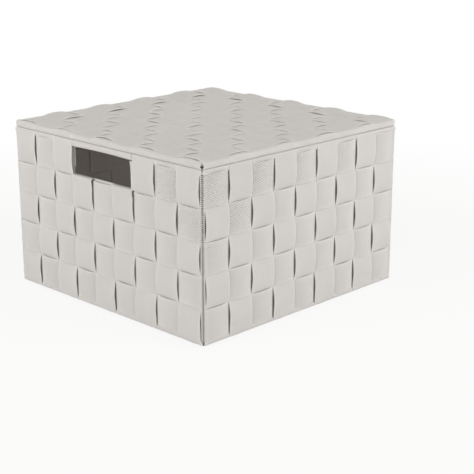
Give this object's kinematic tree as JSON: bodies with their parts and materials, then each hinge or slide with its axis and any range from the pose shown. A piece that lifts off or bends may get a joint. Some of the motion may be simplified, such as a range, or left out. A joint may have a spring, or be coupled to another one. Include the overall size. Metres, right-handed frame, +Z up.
{
  "type": "lidded woven box",
  "caption": "Square storage box of flat straps woven over a bent wire frame, with a hand hole in two opposite sides and a woven lift-off lid.",
  "frame": {"origin": "middle of the underside, on the plane the box stands on", "axes": "+Z up; the hand holes are in the -Y (front) and +Y (rear) sides; +X is to the right seen from the front"},
  "size_m": [0.24, 0.24, 0.15],
  "materials": {
    "strap": "matte, finely woven, pale warm grey",
    "wire": "drawn, dull grey"
  },
  "bodies": {
    "box": {"base_wire": "wire", "rim_wire": "wire", "corner_post_1": "wire", "corner_post_2": "wire", "corner_post_3": "wire", "corner_post_4": "wire", "body_strap_x1": "strap", "body_strap_x2": "strap", "body_strap_x3": "strap", "body_strap_x4": "strap", "body_strap_x5": "strap", "body_strap_x6": "strap", "body_strap_x7": "strap", "body_strap_x8": "strap", "body_strap_x9": "strap", "body_strap_y1": "strap", "body_strap_y2": "strap", "body_strap_y3": "strap", "body_strap_y4": "strap", "body_strap_y5": "strap", "body_strap_y6": "strap", "body_strap_y7": "strap", "body_strap_y8": "strap", "body_strap_y9": "strap", "hoop_1_right": "strap", "hoop_1_left": "strap", "hoop_2": "strap", "hoop_3": "strap", "hoop_4": "strap", "hoop_5": "strap", "handle_wrap_front": "strap", "handle_wrap_rear": "strap"},
    "lid": {"lid_wire": "wire", "lid_strap_x1": "strap", "lid_strap_x2": "strap", "lid_strap_x3": "strap", "lid_strap_x4": "strap", "lid_strap_x5": "strap", "lid_strap_x6": "strap", "lid_strap_x7": "strap", "lid_strap_x8": "strap", "lid_strap_x9": "strap", "lid_strap_y1": "strap", "lid_strap_y2": "strap", "lid_strap_y3": "strap", "lid_strap_y4": "strap", "lid_strap_y5": "strap", "lid_strap_y6": "strap", "lid_strap_y7": "strap", "lid_strap_y8": "strap", "lid_strap_y9": "strap", "lid_locating_wire": "wire", "lid_keeper_right": "strap", "lid_keeper_rear": "strap", "lid_keeper_left": "strap", "lid_keeper_front": "strap"}
  },
  "joints": [
    {"name": "lid_lift", "type": "slide", "parent": "box", "child": "lid", "axis": [0, 0, 1], "range_m": [0, 0.08]}
  ]
}
